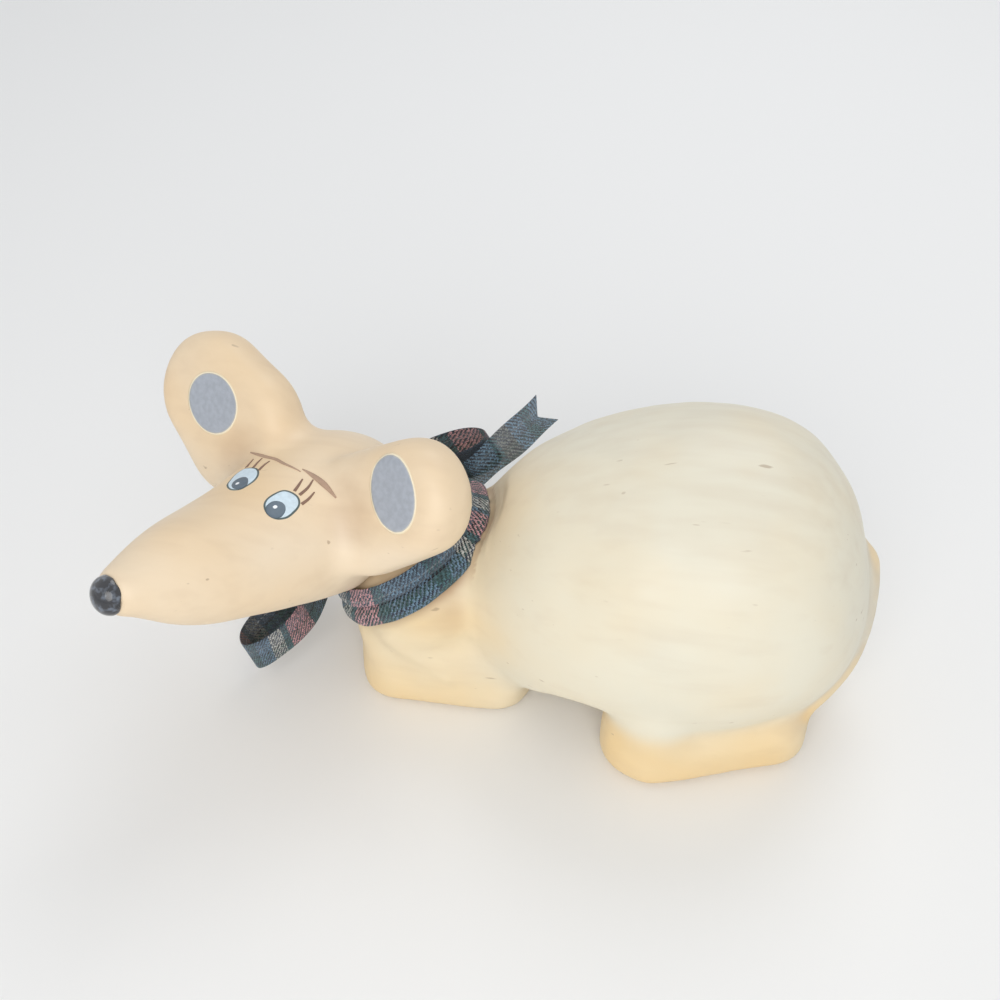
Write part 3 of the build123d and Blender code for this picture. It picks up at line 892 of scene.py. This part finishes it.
for side, label in ((1, "left"), (-1, "right")):
    ear, eye = ear_directions(side), eye_directions(side)
    length, width, turn, x, y = EAR_OVALS[label]
    rim = oval(length + 1.2, width + 1.1, radians(turn), x, y)
    paint_patch("ear_rim_" + label, ear, rim, UNDER_COAT, rim_paint)
    paint_patch(
        "painted_oval_" + label,
        ear,
        oval(length, width, radians(turn), x, y),
        TOP_COAT,
        ear_paint,
        ("ear_oval_" + label,),
    )
    eye_edge = drawn(EYE_SHAPES[label], grow=0.18)
    paint_patch("eye_outline_" + label, eye, eye_edge, UNDER_COAT, eye_outline_paint)
    paint_patch(
        "painted_eye_" + label,
        eye,
        drawn(EYE_SHAPES[label], grow=-0.26),
        TOP_COAT,
        eye_white_paint,
        ("eye_white_" + label,),
    )
    paint_patch(
        "painted_iris_" + label,
        eye,
        oval(*IRIS_SHAPES[label]),
        IRIS_COAT,
        iris_paint,
        ("iris_" + label,),
        fine=16,
    )
    glint = oval(1.3, 1.1, 0.0, *GLINTS[label])
    paint_patch("eye_glint_" + label, eye, glint, GLINT_COAT, glint_paint, fine=8)
    for count, lash in enumerate(LASHES[label]):
        name = "eyelash_%s_%d" % (label, count + 1)
        paint_stroke(name, eye, lash, LASH_WIDTHS, line_paint, fine=14)
    brow, brow_widths = BROWS[label]
    paint_stroke("brow_" + label, eye, brow, brow_widths, brow_paint)


# ---- ribbon ----


def ribbon_strip(
    name, points, material, replaced, closed=False, fine=(96, 10), thick=0.5, shape=None, reverse=None
):
    """A length of ribbon through points with a way across each, as (middle, across) pairs in metres.

    A shape moves each spot by its middle, its run from 0 to 1 and its side from -1 to 1.
    """
    middles = [middle for middle, _ in points]
    acrosses = [across for _, across in points]
    steps = 200
    track = [along_path(middles, step / steps, closed) for step in range(steps + 1)]
    length = sum((b - a).length for a, b in zip(track, track[1:]))
    strip = bmesh.new()
    bmesh.ops.create_grid(strip, x_segments=fine[0], y_segments=fine[1], size=1.0)
    uv = strip.loops.layers.uv.new("UVMap")
    cloth = {}
    for vertex in strip.verts:
        run, side = (vertex.co.x + 1) / 2, vertex.co.y
        middle = along_path(middles, run, closed)
        across = along_path(acrosses, run, closed).normalized()
        spot = middle + across * side * RIBBON_WIDTH * MM / 2
        if shape:
            spot = shape(spot, middle, run, side)
        cloth[vertex] = ((side + 1) / 2 * RIBBON_WIDTH, run * length / MM)
        vertex.co = spot
    for face in strip.faces:
        for loop in face.loops:
            loop[uv].uv = cloth[loop.vert]
    if closed:
        bmesh.ops.remove_doubles(strip, verts=strip.verts, dist=0.02 * MM)
    mesh = mesh_from(name, strip)
    piece = finish_piece(name, mesh, material, replaced)
    wall = piece.modifiers.new("cloth", "SOLIDIFY")
    wall.thickness = thick * MM
    wall.offset = 0
    if reverse:
        mesh.materials.append(reverse)
        wall.material_offset = 1
    soft = piece.modifiers.new("soft", "SUBSURF")
    soft.levels = soft.render_levels = 1
    return piece, length


def lean(right=0.0, throat=0.0):
    """The way across a strip that stands on edge, leaned a little to one side."""
    return (NECK_UP + MOUSE_RIGHT * right + NECK_FORWARD * throat).normalized()


def upright(*places):
    """Points round the neck for a strip that stands on edge there, from (angle, radius) pairs."""
    return [(on_neck(angle, radius), lean()) for angle, radius in places]


THINNEST_NECK = 21.0


def band_wood(angle, up):
    """How far out the wood of the neck stands at an angle from the throat."""
    outside = on_neck(angle, NECK_RADIUS + 4.0, up)
    inside = on_neck(angle, 0, up)
    hit = wood_skin.ray_cast(outside, (inside - outside).normalized(), 30 * MM)[0]
    if hit is None:
        return THINNEST_NECK
    right, throat, _ = neck_place(hit)
    return clamp(sqrt(right * right + throat * throat), THINNEST_NECK, NECK_RADIUS + 0.3)


def band_shape(spot, middle, run, side):
    """Two soft turns of ribbon that meet in a lengthwise crease, which dies out behind the neck."""
    angle = -180 + 360 * run
    off_throat = abs(angle)
    right, throat = sin(radians(angle)), cos(radians(angle))
    crease = 1 - soft_step(off_throat, 128.0, 160.0)
    fold = -0.12 + 0.16 * noise.noise(Vector((throat * 1.6, right * 1.6, 2)))
    wave = 0.35 * sin(radians(angle * 3)) * crease
    up = band_shift(angle) + side * RIBBON_WIDTH / 2 + wave
    off_fold = abs(side - fold)
    puff = 1.9 * soft_step(off_fold, 0.0, 0.3) - 0.9 * soft_step(off_fold, 0.5, 1.1)
    beside_throat = soft_step(off_throat, 20.0, 50.0) * (1 - soft_step(off_throat, 100.0, 135.0))
    flare = clamp(-side) ** 1.5 * beside_throat
    wobble = 0.3 * noise.noise(Vector((throat * 5, right * 5, side * 1.5)))
    radius = band_wood(angle, up) + 0.4 + puff * crease + 0.4 * (1 - crease) + flare
    return on_neck(angle, radius + wobble * (0.4 + 0.6 * crease), up)


band, band_length = ribbon_strip(
    "ribbon_neck_band",
    [
        (on_neck(angle, NECK_RADIUS + 1.0, band_shift(angle)), NECK_UP)
        for angle in range(-180, 180, 20)
    ],
    band_weave,
    ("ribbon_band",),
    closed=True,
    fine=(260, 24),
    thick=0.4,
    shape=band_shape,
)

left_bow, left_bow_length = ribbon_strip(
    "ribbon_bow_left",
    [
        (neck_point(14.0, 30.8, 0), lean()),
        (neck_point(3.0, 32.5, -0.3), lean()),
        (neck_point(-7.0, 32.8, -0.6), lean()),
        (neck_point(-13.5, 33.4, -1.0), lean(0, -0.15)),
        (neck_point(-18.6, 36.2, -1.4), lean(0, -0.3)),
        (neck_point(-22.4, 41.0, -1.8), lean(0, -0.4)),
        (neck_point(-24.6, 46.8, -2.2), lean(0, -0.35)),
        (neck_point(-23.6, 52.0, -2.6), lean(0, -0.2)),
        (neck_point(-18.6, 54.4, -2.4), lean(0, -0.1)),
        (neck_point(-13.6, 52.4, -2.0), lean()),
        (neck_point(-8.6, 47.0, -1.2), lean()),
        (neck_point(-2.0, 41.5, -0.4), lean()),
        (neck_point(7.0, 38.0, 0), lean()),
        (neck_point(14.0, 34.0, 0), lean()),
    ],
    # Inner side of the loop: the darkened reverse weave, as painted shade
    shaded_reverse_weave,
    ("ribbon_loop_left",),
    fine=(120, 10),
    reverse=left_bow_weave,
)

right_bow, right_bow_length = ribbon_strip(
    "ribbon_bow_right",
    upright(
        (48, 34.0),
        (58, 31.5),
        (74, 30.4),
        (92, 30.2),
        (108, 31.0),
        (118, 33.6),
        (121, 37.6),
        (116, 41.2),
        (104, 42.6),
        (88, 42.4),
        (72, 41.5),
        (58, 38.5),
        (49, 35.5),
    ),
    # Inner side of the loop: the darkened reverse weave, as painted shade
    shaded_reverse_weave,
    ("ribbon_loop_right",),
    fine=(120, 10),
    reverse=right_bow_weave,
)

# Where the knot sits round the neck, and how far its turn of ribbon reaches in, out, up and down
KNOT_ANGLE, KNOT_RADIUS = radians(38.0), 29.9
KNOT_DEPTH, KNOT_HEIGHT = 3.1, 4.6


def knot_ring():
    """The turn of ribbon that is pulled tight round the band and holds the bow."""
    out = Vector((sin(KNOT_ANGLE), cos(KNOT_ANGLE)))
    across = MOUSE_RIGHT * out.y - NECK_FORWARD * out.x
    ring = []
    for step in range(12):
        turn = tau * step / 12
        right, throat = out * (KNOT_RADIUS + KNOT_DEPTH * cos(turn))
        ring.append((neck_point(right, throat, KNOT_HEIGHT * sin(turn)), across))
    return ring


def knot_shape(spot, middle, run, side):
    """Edges drawn in, and small pinches."""
    pinch_depth, drawn_in = 0.35 * MM, 0.7 * MM
    pinch = pinch_depth * noise.noise(Vector((run * 14, side * 2.5, 1)))
    centre = neck_point(KNOT_RADIUS * sin(KNOT_ANGLE), KNOT_RADIUS * cos(KNOT_ANGLE))
    out = (middle - centre).normalized()
    return spot - out * (side * side * drawn_in) + out * pinch


knot, knot_length = ribbon_strip(
    "ribbon_knot_wrap",
    knot_ring(),
    right_bow_weave,
    ("ribbon_knot",),
    closed=True,
    fine=(60, 8),
    thick=0.6,
    shape=knot_shape,
)

left_end, left_end_length = ribbon_strip(
    "ribbon_end_left",
    [
        (neck_point(20.4, 26.8, 0), lean()),
        (neck_point(21.2, 31.0, 0), lean()),
        (neck_point(21.3, 35.5, 0), lean()),
        (neck_point(20.2, 40.2, -0.5), lean(0.1)),
        (neck_point(17.2, 44.6, -1.0), lean(0.2)),
    ],
    left_bow_weave,
    ("ribbon_tail_left",),
    fine=(40, 10),
)


def tail_shape(spot, middle, run, side):
    """Ripples and a notched end."""
    notch_depth, ripple_height = 4.5, 0.35
    notch = (1 - abs(side)) * soft_step(run, 0.8, 1.0) * notch_depth
    back = (neck_point(24.0, -14.7) - neck_point(47.6, -34.3)).normalized()
    ripple = ripple_height * sin(run * 19) * side
    return spot + back * notch * MM + (MOUSE_RIGHT * 0.6 + NECK_FORWARD * 0.8) * ripple * MM


right_end, right_end_length = ribbon_strip(
    "ribbon_end_right",
    [
        *upright((54, 27.9), (75, 27.9), (96, 27.9), (113, 27.9), (122, 28.0)),
        (neck_point(30.0, -19.8, -0.6), lean(0.12, 0.05)),
        (neck_point(36.5, -25.2, -1.4), lean(0.3, 0.2)),
        (neck_point(42.5, -30.2, -1.8), lean(0.42, 0.34)),
        (neck_point(47.8, -34.6, -2.0), lean(0.46, 0.42)),
    ],
    sheer_weave,
    ("ribbon_tail_right",),
    fine=(110, 14),
    thick=0.3,
    shape=tail_shape,
)


# ---- floor, light and camera ----

FLOOR_HALF_WIDTH = 3.0
floor_material, _ = new_material("pale_floor", Base_Color=(0.88, 0.88, 0.87, 1), Roughness=0.6)
floor_grid = bmesh.new()
bmesh.ops.create_grid(floor_grid, x_segments=1, y_segments=1, size=FLOOR_HALF_WIDTH)
floor_mesh = mesh_from("floor", floor_grid)
floor_mesh.materials.append(floor_material)
floor_piece = bpy.data.objects.new("floor", floor_mesh)
scene.collection.objects.link(floor_piece)

# The room's light falls on the mouse, and a white backdrop is seen behind it and mirrored in it
ROOM_COLOUR, ROOM_STRENGTH = (0.95, 0.97, 1.0, 1), 0.57
world = bpy.data.worlds.new("studio")
scene.world = world
world.use_nodes = True
world.node_tree.nodes.clear()
room_light = feed(world, "Background", {"Color": ROOM_COLOUR, "Strength": ROOM_STRENGTH})
backdrop = feed(world, "Background", {"Color": (1, 1, 1, 1)})
rays = feed(world, "LightPath").outputs
through = maths(world, "MAXIMUM", rays["Is Glossy Ray"], rays["Is Transmission Ray"])
seen = maths(world, "MAXIMUM", rays["Is Camera Ray"], through)
either = feed(world, "MixShader", {0: seen, 1: room_light.outputs[0], 2: backdrop.outputs[0]})
feed(world, "OutputWorld", {0: either.outputs[0]})

LAMP_TARGET = Vector((-0.05, 0, 0.03))


def soft_lamp(name, place, size, power, colour):
    """A round lamp that looks at the mouse, with its place and size in metres and power in watts."""
    lamp = bpy.data.lights.new(name, "AREA")
    lamp.shape = "DISK"
    lamp.size = size
    lamp.energy = power
    lamp.color = colour
    lamp_object = bpy.data.objects.new(name, lamp)
    scene.collection.objects.link(lamp_object)
    way = (LAMP_TARGET - Vector(place)).to_track_quat("-Z", "Y")
    lamp_object.matrix_world = Matrix.Translation(place) @ way.to_matrix().to_4x4()


soft_lamp("window_lamp", (-0.05, -0.85, 0.6), size=0.9, power=5.6, colour=(1.0, 0.98, 0.96))
soft_lamp("back_lamp", (0.1, 0.6, 0.8), size=0.6, power=2.2, colour=(0.97, 0.98, 1.0))

CAMERA_TURN, CAMERA_LIFT, CAMERA_ANGLE = radians(9.0), radians(42.0), radians(44.0)
CAMERA_PLACE = Vector((-23.46, -243.5, 279.13))
camera = bpy.data.cameras.new("camera")
camera.angle = CAMERA_ANGLE
camera_object = bpy.data.objects.new("camera", camera)
scene.collection.objects.link(camera_object)
backward = Vector(
    (sin(CAMERA_TURN) * cos(CAMERA_LIFT), -cos(CAMERA_TURN) * cos(CAMERA_LIFT), sin(CAMERA_LIFT))
)
rightward = Vector((cos(CAMERA_TURN), sin(CAMERA_TURN), 0))
upward = backward.cross(rightward)
view = Matrix((rightward, upward, backward)).transposed().to_4x4()
camera_object.matrix_world = Matrix.Translation(CAMERA_PLACE * MM) @ view
scene.camera = camera_object
scene.view_settings.view_transform = "Standard"
